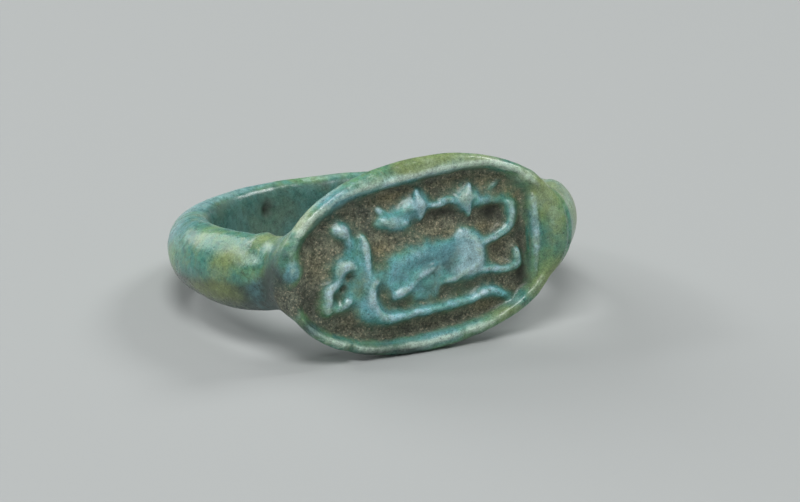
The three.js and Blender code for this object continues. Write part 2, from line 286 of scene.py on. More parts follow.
class StageSettings(bpy.types.PropertyGroup):
    """Floor, light and camera."""

    floor: colour("Floor", "The sheet's colour", 0.462, 0.482, 0.477)
    azimuth: FloatProperty(
        name="Azimuth",
        description="Where the camera stands round the ring",
        default=math.radians(-25.36),
        subtype="ANGLE",
    )
    elevation: FloatProperty(
        name="Elevation", description="How far the camera looks down", default=math.radians(19.7), subtype="ANGLE"
    )
    distance: length("Distance", "From the camera to the hole's middle", 228.73)


# Noise and rasters.


HASH_PRIMES = (374761393, 668265263, 2147483647)
HASH_SEED = 1274126177
WORD = 0xFFFFFFFF


def lattice(cells, seed):
    """A pseudo-random unit gradient for each whole-number cell corner."""
    x, y, z = (cells[..., axis] * prime for axis, prime in enumerate(HASH_PRIMES))
    mixed = x + y + z + seed * HASH_SEED & WORD
    mixed = (mixed ^ (mixed >> 13)) * HASH_SEED & WORD
    mixed = mixed ^ (mixed >> 16)
    angle = (mixed & 0xFFFF) / 65536.0 * 2 * np.pi
    level = ((mixed >> 16) & 0xFFFF) / 32768.0 - 1.0
    flat = np.sqrt(np.maximum(0.0, 1 - level * level))
    return np.stack([flat * np.cos(angle), flat * np.sin(angle), level], -1)


def noise(points, scale, seed=0):
    """Smooth gradient noise, about -1 to 1, with features about `scale` across."""
    place = points / scale
    base = np.floor(place).astype(np.int64)
    part = place - base
    ease = part**3 * (part * (part * 6 - 15) + 10)
    total = 0.0
    for corner in np.ndindex(2, 2, 2):
        offset = np.array(corner)
        weight = np.prod(np.where(offset == 1, ease, 1 - ease), axis=-1)
        total = total + weight * np.sum(lattice(base + offset, seed) * (part - offset), axis=-1)
    return total * 1.5


def fractal(points, scale, octaves, seed=0):
    """A few octaves of noise, each half as large and half as strong as the last."""
    return sum(noise(points, scale / 2**level, seed + level) / 2**level for level in range(octaves))


def waver(points, layers):
    """Noise in layers, each with its amount, scale and seed."""
    return sum(amount * noise(points, scale, seed) for amount, scale, seed in layers)


def smooth_max(a, b, soft):
    """The larger of two fields, with the crease between them filled over about `soft`."""
    overlap = np.maximum(soft - np.abs(a - b), 0) / soft
    return np.maximum(a, b) + overlap * overlap * soft / 4


def smooth_min(a, b, soft):
    """The smaller of two fields, with the crease filled in the same way."""
    return -smooth_max(-a, -b, soft)


def bell(value, middle, spread):
    """1 at the middle, falling off smoothly to both sides."""
    return np.exp(-(((value - middle) / spread) ** 2))


def step(value, start, run):
    """0 up to a start, 1 past its run and straight between. A negative run goes towards smaller values."""
    return np.clip((value - start) / run, 0, 1)


def turned(degrees, middle):
    """How far round from a middle, from -180 to 180 degrees."""
    return (degrees - middle + 180) % 360 - 180


def eased(share):
    """A share from 0 to 1 with soft ends."""
    return share * share * (3 - 2 * share)


def end_line(v):
    """Where the straight ridge that closes the field stands, along the bezel."""
    return 6.5 + 0.075 * v


def from_hundredths(table):
    """A table's numbers in millimetres, or as amounts."""
    return np.array(table) / 100


def curve_points(given, spacing=0.04):
    """Points close together on a smooth curve through the given ones, with their other values."""
    padded = np.vstack([2 * given[0] - given[1], given, 2 * given[-1] - given[-2]])
    out = []
    for i in range(1, len(padded) - 2):
        a, b, c, d = padded[i - 1 : i + 3]
        steps = max(2, int(np.hypot(*(c - b)[:2]) / spacing))
        t = np.linspace(0, 1, steps, endpoint=False)[:, None]
        out.append(0.5 * (2 * b + (c - a) * t + (2 * a - 5 * b + 4 * c - d) * t**2 + (3 * b - a - 3 * c + d) * t**3))
    return np.vstack(out + [given[-1:]])


RASTER = 0.025
U_SPAN = (-9.2, 9.2)
V_SPAN = (-6.0, 6.0)


def raster_grid():
    """The places of the bezel's raster."""
    u = np.arange(U_SPAN[0], U_SPAN[1], RASTER)
    v = np.arange(V_SPAN[0], V_SPAN[1], RASTER)
    return np.meshgrid(u, v)


def window(u, v, low, high):
    """The part of the raster between two corners."""
    cols, rows = (
        slice(max(0, int((low[k] - span[0]) / RASTER)), int((high[k] - span[0]) / RASTER) + 2)
        for k, span in enumerate((U_SPAN, V_SPAN))
    )
    return rows, cols, u[rows, cols], v[rows, cols]


def add_ridge(height, u, v, points):
    """Raises a rounded ridge through (u, v, half-width, height) with soft feet."""
    line = curve_points(from_hundredths(points))
    reach = line[:, 2].max() * 5
    rows, cols, uu, vv = window(u, v, line[:, :2].min(0) - reach, line[:, :2].max(0) + reach)
    raised = np.zeros_like(uu)
    for pu, pv, half, top in line:
        away = ((uu - pu) ** 2 + (vv - pv) ** 2) / (1.32 * half * half)
        np.maximum(raised, top * (0.52 * np.exp(-0.5 * away) + 0.48 * np.exp(-0.1 * away)), out=raised)
    height[rows, cols] = smooth_max(height[rows, cols], raised, 0.12)


def inside_depth(uu, vv, outline):
    """Signed distance into a polygon, positive inside."""
    nearest = np.full(uu.shape, 1e9)
    crossings = np.zeros(uu.shape, bool)
    for (ax, ay), (bx, by) in zip(outline, np.roll(outline, -1, axis=0)):
        dx, dy = bx - ax, by - ay
        share = np.clip(((uu - ax) * dx + (vv - ay) * dy) / (dx * dx + dy * dy), 0, 1)
        nearest = np.minimum(nearest, np.hypot(uu - ax - share * dx, vv - ay - share * dy))
        spans = (ay > vv) != (by > vv)
        crossings ^= spans & (uu < ax + (vv - ay) * dx / np.where(by == ay, 1e-9, by - ay))
    return np.where(crossings, nearest, -nearest)


def add_slab(height, u, v, outline, top, soft):
    """Raises a flat form inside an outline."""
    rows, cols, uu, vv = window(u, v, outline.min(0) - soft, outline.max(0) + soft)
    rise = eased(step(inside_depth(uu, vv, outline), -soft / 2, soft))
    height[rows, cols] = smooth_max(height[rows, cols], top * rise, 0.1)


def blur(field, radius):
    """A Gaussian blur of a raster, by rows and columns."""
    reach = int(3 * radius / RASTER) + 1
    kernel = np.exp(-0.5 * (np.arange(-reach, reach + 1) * RASTER / radius) ** 2)
    kernel /= kernel.sum()
    for axis in (0, 1):
        padded = np.pad(field, [(reach, reach) if a == axis else (0, 0) for a in (0, 1)], mode="edge")
        field = sum(k * np.take(padded, range(i, i + field.shape[axis]), axis=axis) for i, k in enumerate(kernel))
    return field


def sample(raster, uu, vv):
    """Bilinear values of a raster at any places."""
    x = np.clip((uu - U_SPAN[0]) / RASTER, 0, raster.shape[1] - 1.001)
    y = np.clip((vv - V_SPAN[0]) / RASTER, 0, raster.shape[0] - 1.001)
    i, j = y.astype(int), x.astype(int)
    b, a = y - i, x - j
    top = raster[i, j] * (1 - a) + raster[i, j + 1] * a
    return top * (1 - b) + (raster[i + 1, j] * (1 - a) + raster[i + 1, j + 1] * a) * b


class Bezel:
    """The bezel's plate and relief as fields over its own frame."""

    def __init__(self, sizes):
        self.half_length = sizes.bezel_length / MM / 2
        self.half_height = sizes.bezel_height / MM / 2
        self.face = (sizes.hole_front + sizes.bezel_stand) / MM
        self.back = self.face - sizes.bezel_thickness / MM
        self.depth = sizes.field_depth / MM
        self.floor = self.face - self.depth
        u, v = raster_grid()
        flat = np.stack([u, v, np.zeros_like(u)], -1)
        self.relief = self.make_relief(u, v, flat)
        inset = self.inset(u, v)
        self.height = self.make_height(u, v, flat, inset)
        self.soft_height = blur(self.height, 0.26)
        near, wide = blur(self.height, 0.08), blur(self.height, 0.28)
        self.cavity = np.clip((blur(self.height, 0.4) - near) * 2.6, 0, 1)
        self.convex = np.clip((near - wide) * 7.0, 0, 1)
        rows, cols = np.gradient(self.height, RASTER)
        self.steep = np.clip(blur(np.hypot(rows, cols), 0.05) * 0.8, 0, 1)

    def inset(self, u, v):
        """How far inside the oval a place lies."""
        a, b = np.abs(u) / self.half_length, np.abs(v) / self.half_height
        size = (a**OVAL_POWER + b**OVAL_POWER) ** (1 / OVAL_POWER) + 1e-9
        slope_u = (a / size) ** (OVAL_POWER - 1) / self.half_length
        slope_v = (b / size) ** (OVAL_POWER - 1) / self.half_height
        return (1 - size) / np.hypot(slope_u, slope_v)

    def turn(self, u, v):
        """Degrees round the oval, counter-clockwise from its right end."""
        return np.degrees(np.arctan2(v / self.half_height, u / self.half_length)) % 360

    def make_relief(self, u, v, flat):
        """Heights above the field's floor, in shares of a millimetre."""
        relief = np.zeros_like(u)
        for outline, top, soft in SLABS.values():
            add_slab(relief, u, v, from_hundredths(outline), top / 100, soft / 100)
        for points in RIDGES.values():
            add_ridge(relief, u, v, points)
        relief = relief * (1 + waver(flat, RELIEF_WAVER))
        return sample(relief, u + waver(flat, WARP_U), v + waver(flat, WARP_V))

    def make_height(self, u, v, flat, inset):
        """The face's height, from the hole's middle."""
        turn = self.turn(u, v)
        around = 5 * np.stack([np.cos(np.radians(turn)), np.sin(np.radians(turn)), np.zeros_like(turn)], -1)
        places, *insets = zip(*RIM)
        crest_at, inner_at = (np.interp(turn, places, from_hundredths(column), period=360) for column in insets)
        crest_at = crest_at + waver(around, CREST_PLACE_WAVER)
        inner_at = inner_at + waver(around, SLOPE_PLACE_WAVER)
        crest = self.depth * (1 + waver(around, CREST_WAVER))
        crest = crest * (1 - 0.22 * bell(turn, *CHIP) - 0.85 * bell(turn, *WORN_CREST))
        # The crest's fine line stops on both sides of the right tip, and comes and goes elsewhere.
        line = bell(inset, crest_at, 0.16) * (crest / self.depth)
        line = line * step(np.abs(turn - 2), 16.8, 14) * step(np.abs(turn - 354), 19.6, 14)
        self.rim_line = line * np.clip(0.75 + waver(around, LINE_WAVER), 0, 1)
        rim = crest * (1 - eased(step(inset, crest_at, inner_at + 0.1 - crest_at)))
        outer = np.clip(1 - inset / crest_at, 0, 1)
        side = BEZEL_SIDE * (1 - bell(turn, *WORN_SIDE))
        rim = rim - side * (1 - np.sqrt(np.maximum(0, 1 - outer**2.4)))
        rim = rim - 0.07 * np.clip(outer * 3, 0, 1) + 0.05 * self.rim_line
        # Right of the straight ridge the plate falls away, rounded, to the hoop's shoulder.
        past = np.maximum(u - end_line(v), 0)
        tip = self.depth * 0.84 - 0.11 * past**1.8 - 0.3 * (1 - np.sqrt(1 - np.clip(1 - inset, 0, 1) ** 2))
        gate = step(inside_depth(u, v, from_hundredths(TIP)), -0.3, 0.6)
        height = smooth_max(rim, tip * eased(gate) - 0.6 * (1 - gate), 0.18)
        height = smooth_max(height, self.relief, 0.2)
        for points in (END_RIDGE, RIM_BUMP, RIM_KNOB):
            add_ridge(height, u, v, points)
        for hu, hv, ru, rv, deep in from_hundredths(HOLLOWS):
            height = height - deep * bell(u, hu, ru) * bell(v, hv, rv)
        height = blur(height, 0.085) + 0.035 * fractal(flat, 1.7, 2, 21) + 0.022 * fractal(flat, 0.5, 2, 24)
        return self.floor + height

    def to_local(self, points):
        """U, V and height from the hole's middle, for places in the ring's frame."""
        x, z = points[..., 0] - BEZEL_SHIFT, points[..., 2] - BEZEL_LIFT
        c, s = math.cos(BEZEL_TWIST), math.sin(BEZEL_TWIST)
        return x * c + z * s, -x * s + z * c, -points[..., 1]

    def distance(self, points):
        """Signed distance to the plate with its relief, negative inside."""
        u, v, w = self.to_local(points)
        front = self.face - BEZEL_SIDE
        down = np.clip((front - w) / (front - self.back), 0, 1.4)
        side = BEZEL_TAPER * down**1.5 - self.inset(u, v) + 0.55 * bell(self.turn(u, v), *WORN_PLATE)
        height = sample(self.height, u, v)
        slopes = (
            (sample(self.height, u + du, v + dv) - sample(self.height, u - du, v - dv)) / (2 * SLOPE_STEP)
            for du, dv in ((SLOPE_STEP, 0), (0, SLOPE_STEP))
        )
        top = (w - height) / np.sqrt(1 + sum(slope**2 for slope in slopes))
        return smooth_max(smooth_max(side, top, SIDE_CORNER), self.back - w, BACK_CORNER)

    def hollow(self, points):
        """Negative in the open space over the field, where the hoop must not fill it."""
        u, v, w = self.to_local(points)
        edge = 0.75 - 0.6 * bell(self.turn(u, v), *WORN_PLATE) - self.inset(u, v)
        inner = smooth_max(edge, u - (end_line(v) - END_FOOT), 0.1)
        return np.maximum(inner, sample(self.height, u, v) - w)


class Ring:
    """The whole ring as a distance field in its own frame."""

    def __init__(self, sizes):
        self.hole = sizes.hole_radius / MM
        self.hole_front = sizes.hole_front / MM
        self.thickness = sizes.hoop_thickness / MM
        self.width = sizes.hoop_width / MM
        self.front = (sizes.hole_front + sizes.front_thickness) / MM
        self.bezel = Bezel(sizes)

    def outline(self, ahead, radius, front, soft):
        """Distance from the finger's axis of a round that a flat front cuts off."""
        chord = np.where(ahead > 0.05, front / np.maximum(ahead, 0.05), 1e3)
        return smooth_min(radius, chord, soft)

    def hoop(self, points):
        """Signed distance to the hoop, negative inside. Its section is a D, flat against the finger."""
        angle = np.arctan2(points[..., 0], -points[..., 1])
        degrees = np.degrees(angle)
        across = np.hypot(points[..., 0], points[..., 1])
        ahead = np.cos(angle)
        inner = self.outline(ahead, self.hole, self.hole_front, HOLE_CORNER)
        width, lift, radius = self.width, 0.0, self.hole + self.thickness
        for middle, spread, wider, higher, further in SWELLINGS:
            share = bell(degrees, middle, spread)
            width = width + wider * share
            lift = lift + higher * share
            radius = radius + further * share
        worn = bell(degrees, *WORN_HOOP)
        outer = self.outline(ahead, radius, self.front - 0.4 * worn, FRONT_CORNER + 0.9 * worn)
        widest = inner + HOOP_WIDEST * (outer - inner)
        reach = outer - widest
        half, height = width / 2, points[..., 2] - lift
        along, out = height / half, (across - widest) / reach
        size = np.hypot(out, along) + 1e-9
        slope = np.hypot(out / reach, along / half) + 1e-9
        shell = np.where(out > 0, (size - 1) * size / slope, np.abs(height) - half)
        return smooth_max(shell, inner - across, HOLE_EDGE)

    def unevenness(self, points):
        """Small lumps, pits and wavering of the surface, added to the distance."""
        degrees = np.degrees(np.arctan2(points[:, 0], -points[:, 1]))
        across = np.hypot(points[:, 0], points[:, 1])
        total = waver(points, SURFACE_WAVER)
        outside, inside = -1.0 * (across > self.hole + 0.4), 1.0 * (across < self.hole + 0.6)
        for places, side in ((LUMPS, outside), (INNER_PITS, inside)):
            for middle, height, spread, amount in places:
                near = bell(turned(degrees, middle) * OUTSIDE_DEGREE, 0, spread) * bell(points[:, 2], height, spread)
                total = total + side * amount * near
        return total

    def distance(self, points):
        """Signed distance to hoop and bezel together, negative inside."""
        x = points[..., 0]
        soft = MERGE + sum(amount * eased(step(x, start, run)) for start, run, amount in (MERGE_RIGHT, MERGE_LEFT))
        hoop = np.maximum(self.hoop(points), -self.bezel.hollow(points))
        return smooth_min(hoop, self.bezel.distance(points), soft)


def project(ring, points, rounds=3):
    """Moves points onto the ring's surface and returns its normals there."""
    for _ in range(rounds):
        plain = ring.distance(points)
        value = plain + ring.unevenness(points)
        slope = np.stack([(ring.distance(points + shift) - plain) / PROBE for shift in np.eye(3) * PROBE], -1)
        size = np.maximum(np.sum(slope * slope, -1, keepdims=True), 0.04)
        move = value[:, None] * slope / size
        far = np.linalg.norm(move, axis=1, keepdims=True)
        points = points - move * np.minimum(1, LONGEST_MOVE / np.maximum(far, 1e-9))
    return points, slope / np.linalg.norm(slope, axis=1, keepdims=True)


def surface_quads(ring, spacing):
    """A first mesh of the ring from its distance field."""
    axes = [np.arange(a, b, spacing) for a, b in zip(LOW_CORNER, HIGH_CORNER)]
    coarse = ring.distance(np.stack(np.meshgrid(*[a[::COARSE] for a in axes], indexing="ij"), -1))
    for axis in range(3):
        coarse = np.repeat(coarse, COARSE, axis=axis)
    half = COARSE // 2
    coarse = np.roll(coarse, (half, half, half), (0, 1, 2))[tuple(slice(len(axis)) for axis in axes)]
    field = np.sign(coarse).astype(np.float32)
    where = np.nonzero(np.abs(coarse) < BAND * spacing)
    field[where] = ring.distance(np.stack([axis[i] for axis, i in zip(axes, where)], -1))
    volume = openvdb.FloatGrid(1.0)
    volume.copyFromArray(np.clip(field, -1, 1))
    points, quads = volume.convertToQuads(0.0)
    points = np.array(points, float) * spacing + np.array(LOW_CORNER)
    quads = np.array(quads, int)
    corner = points[quads]
    normal = np.cross(corner[:, 2] - corner[:, 0], corner[:, 3] - corner[:, 1])
    if np.sum(corner.mean(1) * normal) < 0:
        quads = quads[:, ::-1]
    return points, quads


def refine(points, quads, chosen):
    """Splits the chosen quads in four. Their neighbours take the new points in, so no seam opens."""
    edges = {}
    new = list(points)

    def middle(a, b):
        key = (a, b) if a < b else (b, a)
        if key not in edges:
            edges[key] = len(new)
            new.append((points[a] + points[b]) / 2)
        return edges[key]

    faces = []
    for a, b, c, d in quads[chosen]:
        ab, bc, cd, da = middle(a, b), middle(b, c), middle(c, d), middle(d, a)
        centre = len(new)
        new.append((points[a] + points[b] + points[c] + points[d]) / 4)
        faces += [(a, ab, centre, da), (ab, b, bc, centre), (centre, bc, c, cd), (da, centre, cd, d)]
    for quad in quads[~chosen]:
        loop = []
        for a, b in zip(quad, np.roll(quad, -1)):
            loop.append(a)
            key = (a, b) if a < b else (b, a)
            if key in edges:
                loop.append(edges[key])
        faces.append(tuple(loop))
    return np.array(new), faces


def relax(points, faces, normals):
    """One step of evening out the points within the surface."""
    sums = np.zeros_like(points)
    counts = np.zeros(len(points))
    for size in sorted({len(f) for f in faces}):
        loops = np.array([f for f in faces if len(f) == size])
        for k in range(size):
            a, b = loops[:, k], loops[:, (k + 1) % size]
            np.add.at(sums, a, points[b])
            np.add.at(sums, b, points[a])
            np.add.at(counts, a, 1)
            np.add.at(counts, b, 1)
    move = sums / counts[:, None] - points
    move -= np.sum(move * normals, -1, keepdims=True) * normals
    return points + 0.5 * move


def place(points):
    """From the ring's frame in millimetres to the part's frame in metres."""
    c, s = math.cos(LEAN), math.sin(LEAN)
    x, y, z = points.T
    moved = np.stack([x, y * c + z * s, -y * s + z * c], -1) + np.array(CENTRE)
    moved[:, 2] = np.maximum(moved[:, 2], 0.0)
    return moved * MM


def set_float(mesh, name, values):
    """Stores a number for each point of the mesh."""
    mesh.attributes.new(name, "FLOAT", "POINT").data.foreach_set("value", np.asarray(values, np.float32))


# Where each tone lies on the hoop: (degrees round, millimetres along the finger, their spreads, amount).
HOOP_TONES = {
    "blue": (
        (-150, 1.75, 20, 0.6, 0.9), (-84, -0.6, 9, 0.6, 0.35), (-125, 1.7, 10, 0.6, 0.8), (-109, 1.1, 7, 1, 0.7),
        (-97, 1.3, 6, 0.9, 0.6), (-60, -0.7, 3.5, 1.4, 0.5), (-46, 0.7, 4, 0.6, 0.9), (60, 0.2, 5, 0.6, 0.35),
        (170, 1.8, 20, 0.4, 0.3), (120, 0.5, 14, 1, 0.4), (-160, -0.6, 14, 0.9, 0.35),
    ),
    "olive": (
        (-71, 0.5, 6, 0.7, 0.7), (-66, 0.9, 7, 0.5, 0.5), (-72, -1.1, 9, 0.9, 0.8), (-85, -1.2, 8, 0.7, 0.6),
        (-60, 1.7, 3, 0.4, 0.7), (-55, 1.9, 4, 0.4, 0.7), (72, 2.2, 14, 0.9, 0.85), (62, 0.8, 7, 1.3, 0.6),
        (47, 2.6, 7, 0.8, 0.8), (40, -2, 9, 1, 0.8), (55, 0, 10, 1.5, 0.45), (165, 1, 8, 1, 0.3),
        (100, -1, 10, 0.9, 0.35), (-110, -1, 8, 0.7, 0.3), (60, -2.3, 12, 0.9, 0.7),
    ),
    # Painted highlights on the hoop's shoulders and along the hole's far edge.
    "pale": (
        (-76, 0.8, 7, 0.45, 0.2), (-72, -0.1, 6, 0.5, 0.35), (-62, 0.8, 5, 0.35, 1.1), (-90, 1.15, 5, 0.5, 0.25),
        (-68, 1, 5, 0.4, 0.7), (-55, 1.45, 2.4, 0.3, 0.6), (-61, 1.75, 2.4, 0.3, 0.6), (-104, 1.1, 6, 0.8, 0.1),
        (50, 2.2, 7, 0.8, 1), (62, 2.4, 8, 0.6, 0.35), (178, 1.75, 24, 0.25, 0.6), (-150, 1.75, 14, 0.3, 0.6),
        (-125, 1.7, 10, 0.35, 0.5),
    ),
    # Dark slate glaze on the neck, and painted shade along the hoop's underside.
    "slate": (
        (-51, -0.5, 5.5, 1.7, 1.4), (-57, -1.2, 4.5, 1, 0.9), (-74, -1.5, 9, 0.6, 0.6), (-95, -1.5, 18, 0.7, 0.6),
        (-80, -1.8, 10, 0.5, 0.8), (-66, -1.9, 10, 0.5, 0.8), (140, -1.2, 20, 0.8, 0.25), (75, -0.6, 6, 0.8, 0.5),
        (67, 1, 9, 1.3, 0.6), (-84, -1.3, 26, 0.9, 0.5), (-70, -1.1, 9, 0.7, 0.5), (-62, -1, 5, 0.6, 0.3),
    ),
    "earth": (
        (-46.5, -0.7, 3.5, 0.9, 0.9), (-50, -1.5, 4, 0.8, 0.6), (48, 1.1, 1.8, 0.5, 0.5), (42, -2.4, 5, 0.6, 0.45),
        (-70, -1.7, 5, 0.4, 0.3),
    ),
}

# Where each tone lies on the bezel: (u, v, their spreads, amount), in hundredths.
BEZEL_TONES = {
    "blue": (
        (-765, 75, 40, 50, 50), (-440, 395, 150, 60, 110), (-160, 430, 70, 30, 50), (90, -20, 180, 70, 60),
        (-190, -60, 60, 70, 40), (220, -120, 80, 35, 40), (-580, 320, 80, 40, 50), (-775, 70, 45, 55, 90),
        (-150, 205, 90, 45, 75), (0, 260, 50, 60, 90), (275, 230, 40, 60, 60), (-30, -20, 160, 60, 60),
        (40, -15, 60, 40, 60), (210, 20, 80, 50, 70), (230, -120, 90, 40, 80), (290, -50, 60, 90, 50),
        (-360, -210, 60, 70, 90), (-470, 20, 50, 50, 80), (650, 40, 30, 110, 80), (-150, -160, 70, 40, 50),
        (20, -455, 160, 45, 90), (-690, -260, 90, 60, 35), (-100, -300, 160, 20, 35), (-620, 290, 40, 40, 30),
    ),
    "olive": (
        (10, 485, 100, 50, 180), (180, 495, 120, 30, 90), (-700, 300, 50, 40, 60), (-630, 330, 80, 60, 60),
        (360, 440, 180, 50, 70), (600, 330, 100, 60, 60), (740, -240, 120, 100, 80), (380, -410, 140, 50, 50),
        (620, -300, 80, 80, 70), (740, 200, 90, 80, 60), (-220, 330, 120, 50, 40), (-530, -390, 60, 40, 35),
        (480, 260, 100, 50, 40), (780, 20, 80, 160, 60), (-240, -170, 40, 60, 50), (-390, -100, 60, 80, 50),
        (100, 390, 160, 30, 50), (-90, 35, 100, 25, 50), (-520, 350, 50, 30, 30), (-100, 490, 100, 30, 50),
        (580, -30, 30, 160, 30), (690, 90, 50, 80, 40), (710, 230, 70, 50, 90), (420, -390, 120, 40, 50),
    ),
    # Thin glaze on worn crests, and painted highlights on the rim, the figure's crests and the right tip.
    "pale": (
        (360, 440, 170, 50, 100), (640, 300, 80, 40, 100), (100, 460, 160, 50, 100), (-120, 450, 140, 40, 60),
        (-300, 420, 160, 40, 40), (-20, -460, 120, 30, 60), (240, -445, 120, 25, 40), (-455, 220, 45, 35, 90),
        (290, -70, 45, 90, 110), (230, -40, 60, 100, 85), (-30, -100, 80, 20, 40), (-120, -10, 50, 30, 25),
        (220, 75, 60, 25, 60), (220, -125, 80, 35, 90), (-170, -160, 50, 25, 50), (-140, 210, 70, 35, 70),
        (280, 250, 35, 60, 40), (-340, -170, 35, 70, 80), (-570, -120, 30, 70, 60), (-660, 310, 60, 40, 80),
        (720, 160, 60, 60, 110), (710, 225, 50, 35, 90), (760, 30, 50, 110, 70), (-762, 80, 28, 40, 50),
        (655, 160, 25, 50, 80), (120, 430, 120, 30, 60), (20, -85, 90, 20, 50), (-530, -380, 50, 30, 40),
        (490, -360, 50, 35, 60), (-460, 35, 45, 30, 90), (0, 280, 30, 40, 90), (-337, 110, 25, 60, 100),
        (-340, -60, 30, 50, 40), (-250, 440, 100, 25, 40),
    ),
    # Dark glaze patches, and painted shade along the rim's lower edge.
    "slate": (
        (-850, -20, 75, 150, 130), (-790, 170, 30, 40, 40), (55, -75, 70, 22, 40), (160, -70, 30, 40, 30),
        (120, -55, 35, 70, 100), (-390, -120, 50, 70, 40), (-30, -50, 100, 25, 50), (-160, -90, 50, 30, 40),
        (0, -190, 100, 50, 55), (-150, -480, 120, 40, 90), (-690, -240, 110, 60, 90), (-430, -440, 100, 50, 60),
        (260, -490, 160, 30, 60), (-300, -450, 140, 35, 60), (-430, 100, 40, 60, 20), (720, -60, 70, 50, 35),
    ),
    "earth": ((-790, -120, 50, 70, 90), (-860, -140, 50, 60, 50)),
    "ochre": (
        (-240, 70, 65, 50, 95), (360, 75, 60, 35, 80), (400, 305, 90, 35, 70), (555, 225, 60, 70, 110),
        (-460, -270, 80, 40, 40), (430, -40, 50, 40, 50), (390, -100, 50, 50, 35), (30, -365, 260, 40, 35),
        (310, -350, 80, 40, 60), (200, 350, 120, 30, 50), (-140, 335, 120, 35, 50), (-620, 60, 90, 100, 45),
        (-150, 340, 100, 30, 40), (460, -310, 60, 30, 50), (160, 90, 90, 20, 50), (60, 130, 140, 40, 30),
    ),
    "shade": (
        (425, 135, 75, 60, 130), (555, -220, 45, 90, 130), (575, -60, 25, 220, 40), (-480, -290, 120, 50, 50),
        (-670, -120, 80, 80, 70), (570, -50, 30, 150, 50), (200, 190, 120, 30, 90), (90, 205, 80, 25, 70),
        (-510, -115, 30, 35, 70), (-430, -28, 15, 15, 90), (-472, -84, 17, 17, 100), (-100, -370, 250, 30, 35),
        (460, -70, 50, 30, 40),
    ),
}


# Where each part of the surface begins, and over what run: by the height of the bezel's face, by how far inside its
# oval, by the relief's level, by u, and for the hole's wall by the distance from the finger's axis.
FACE_HEIGHT = (6.9, 0.5)
FACE_EDGE = (-0.25, 0.3)
FIELD_EDGE = (0.5, 0.5)
RIM_EDGE = (0.95, -0.3)
SOIL_LEVEL = (0.5, -0.42)
FILM_LEVEL = (0.66, -0.4)
FIGURE_LEVEL = (0.15, 0.4)
FIGURE_REACH = (6.6, -3.0)
RIM_LINE_END = (7.2, -0.8)
HOLE_WALL = 9.35

# Where the rim's crest isn't pale: u, spread, amount, and above (1) or below (-1) which v.
DULL_RIM = ((5.0, 1.8, 0.8, -1, -1), (-7.2, 1.0, 0.7, -1, 2.5), (-3.2, 1.8, 0.6, -1, 0), (-4.4, 1.2, 0.5, 1, 0))


def tone_sum(tones, a, b):
    """How much of a tone lies at each place."""
    total = sum(amount * bell(a, first, wide) * bell(b, second, high) for first, second, wide, high, amount in tones)
    return np.clip(total, 0, 1.2)


def paint(ring, mesh, points, normals):
    """Stores how each tone of glaze and soil lies on the surface, with painted highlights and painted shade."""
    bezel = ring.bezel
    u, v, w = bezel.to_local(points)
    degrees = np.degrees(np.arctan2(points[:, 0], -points[:, 1]))
    across = np.hypot(points[:, 0], points[:, 1])
    inset = bezel.inset(u, v)
    facing = np.clip(-normals[:, 1] * 1.6, 0, 1)
    face = step(w, *FACE_HEIGHT) * step(inset, *FACE_EDGE) * np.clip(facing + (inset < 0.9), 0, 1)
    on_hoop = 1 - face
    pit = 0.0
    for middle, height, spread, _ in INNER_PITS:
        pit = pit + bell(turned(degrees, middle) * INSIDE_DEGREE, 0, spread) * bell(points[:, 2], height, spread)
    pit = pit * on_hoop * (across < 9.9)
    inner_wall = step(across, HOLE_WALL + 0.6 * pit, -0.3) * on_hoop
    outer = on_hoop * (1 - inner_wall)
    rise, soft_rise = ((sample(r, u, v) - bezel.floor) / bezel.depth for r in (bezel.height, bezel.soft_height))
    cavity, convex, steep = (sample(r, u, v) for r in (bezel.cavity, bezel.convex, bezel.steep))
    field = step(inset, *FIELD_EDGE) * step(u, end_line(v), -0.4)
    field = face * np.maximum(field, bell(bezel.turn(u, v), *WORN_SOIL))
    level = 0.5 * rise + 0.5 * soft_rise + 0.2 * convex + 0.1 * fractal(points, 0.9, 3, 31)
    values = {}
    for name, tones in BEZEL_TONES.items():
        values[name] = face * tone_sum(from_hundredths(tones), u, v)
        if name in HOOP_TONES:
            values[name] = values[name] + outer * tone_sum(HOOP_TONES[name], degrees, points[:, 2])
    # Painted shade: the hoop is darker where its surface faces down.
    values["slate"] = values["slate"] + outer * np.clip(-normals[:, 2] - 0.05, 0, 0.7) * 0.9
    values["earth"] = np.clip(values["earth"] + field * step(level, *SOIL_LEVEL), 0, 1)
    on_rim = step(inset, *RIM_EDGE)
    # Crests are fainter in the legs at the right and in the long line below.
    thick = 1 - 0.45 * step(u, 3.6, 0.8) - 0.55 * step(v, -2.5, -0.4) * step(u, -2.9, 0.8)
    dull = sum(most * bell(u, middle, wide) * (way * (v - at) > 0) for middle, wide, most, way, at in DULL_RIM)
    rim_line = np.clip(sample(bezel.rim_line, u, v) + 0.35 * on_rim * convex, 0, 1)
    # The crests carry worn thin glaze and painted highlights. The cavities, steep slopes and pits carry painted
    # shade.
    values.update(
        pit=pit,
        crest=face * (1 - on_rim) * np.clip(convex * 1.1 + 0.25 * (rise - 0.8), 0, 1) * thick,
        rim_crest=face * rim_line * step(u, *RIM_LINE_END) * np.clip(1 - dull, 0, 1),
        cavity=face * cavity,
        slope=face * field * steep * (1 - convex),
        film=field * step(level, *FILM_LEVEL),
        inner_wall=inner_wall,
        figure=field * step(rise, *FIGURE_LEVEL) * step(np.abs(u), *FIGURE_REACH),
    )
    for name, value in values.items():
        set_float(mesh, name, value)


def add_node(tree, kind, place, **settings):
    """A new node at a place in the tree."""
    node = tree.nodes.new(kind)
    node.location = place
    for name, value in settings.items():
        setattr(node, name, value)
    return node


def set_socket(tree, socket, value):
    """Links a socket to another node's output, or gives it a number or a colour."""
    if isinstance(value, (int, float)):
        socket.default_value = value
    elif isinstance(value, tuple):
        socket.default_value = (*value, 1.0)
    else:
        tree.links.new(value, socket)


